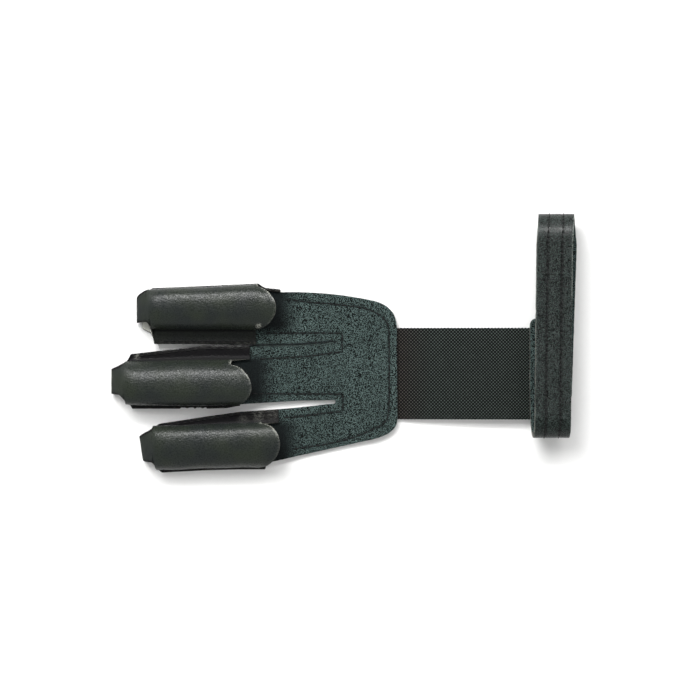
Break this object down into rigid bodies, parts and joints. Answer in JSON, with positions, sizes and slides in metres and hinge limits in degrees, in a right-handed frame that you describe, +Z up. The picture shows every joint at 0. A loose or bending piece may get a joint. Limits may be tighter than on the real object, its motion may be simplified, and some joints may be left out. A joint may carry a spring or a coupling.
{
  "type": "three-finger archery glove",
  "caption": "Leather shooting glove for the string hand: finger stalls on a slit suede back, joined by an elastic strip to a looped wrist strap.",
  "frame": {"origin": "middle of the glove's outline, on the surface that it lies on", "axes": "+X from the fingertips to the wrist strap, +Y towards the index finger, +Z up from the table on the palm side"},
  "size_m": [0.2228, 0.1232, 0.02],
  "materials": {
    "stall_leather": "smooth, lightly waxed",
    "suede": "suede, flesh side out",
    "elastic": "woven elastic webbing",
    "strap_leather": "satin, stitched in two rows",
    "hook_and_loop": "hook-and-loop tape"
  },
  "bodies": {
    "root": {"index_stall": "stall_leather", "middle_stall": "stall_leather", "ring_stall": "stall_leather", "suede_back": "suede", "elastic_strip": "elastic", "wrist_strap": "strap_leather", "strap_fastener": "hook_and_loop"}
  },
  "joints": []
}
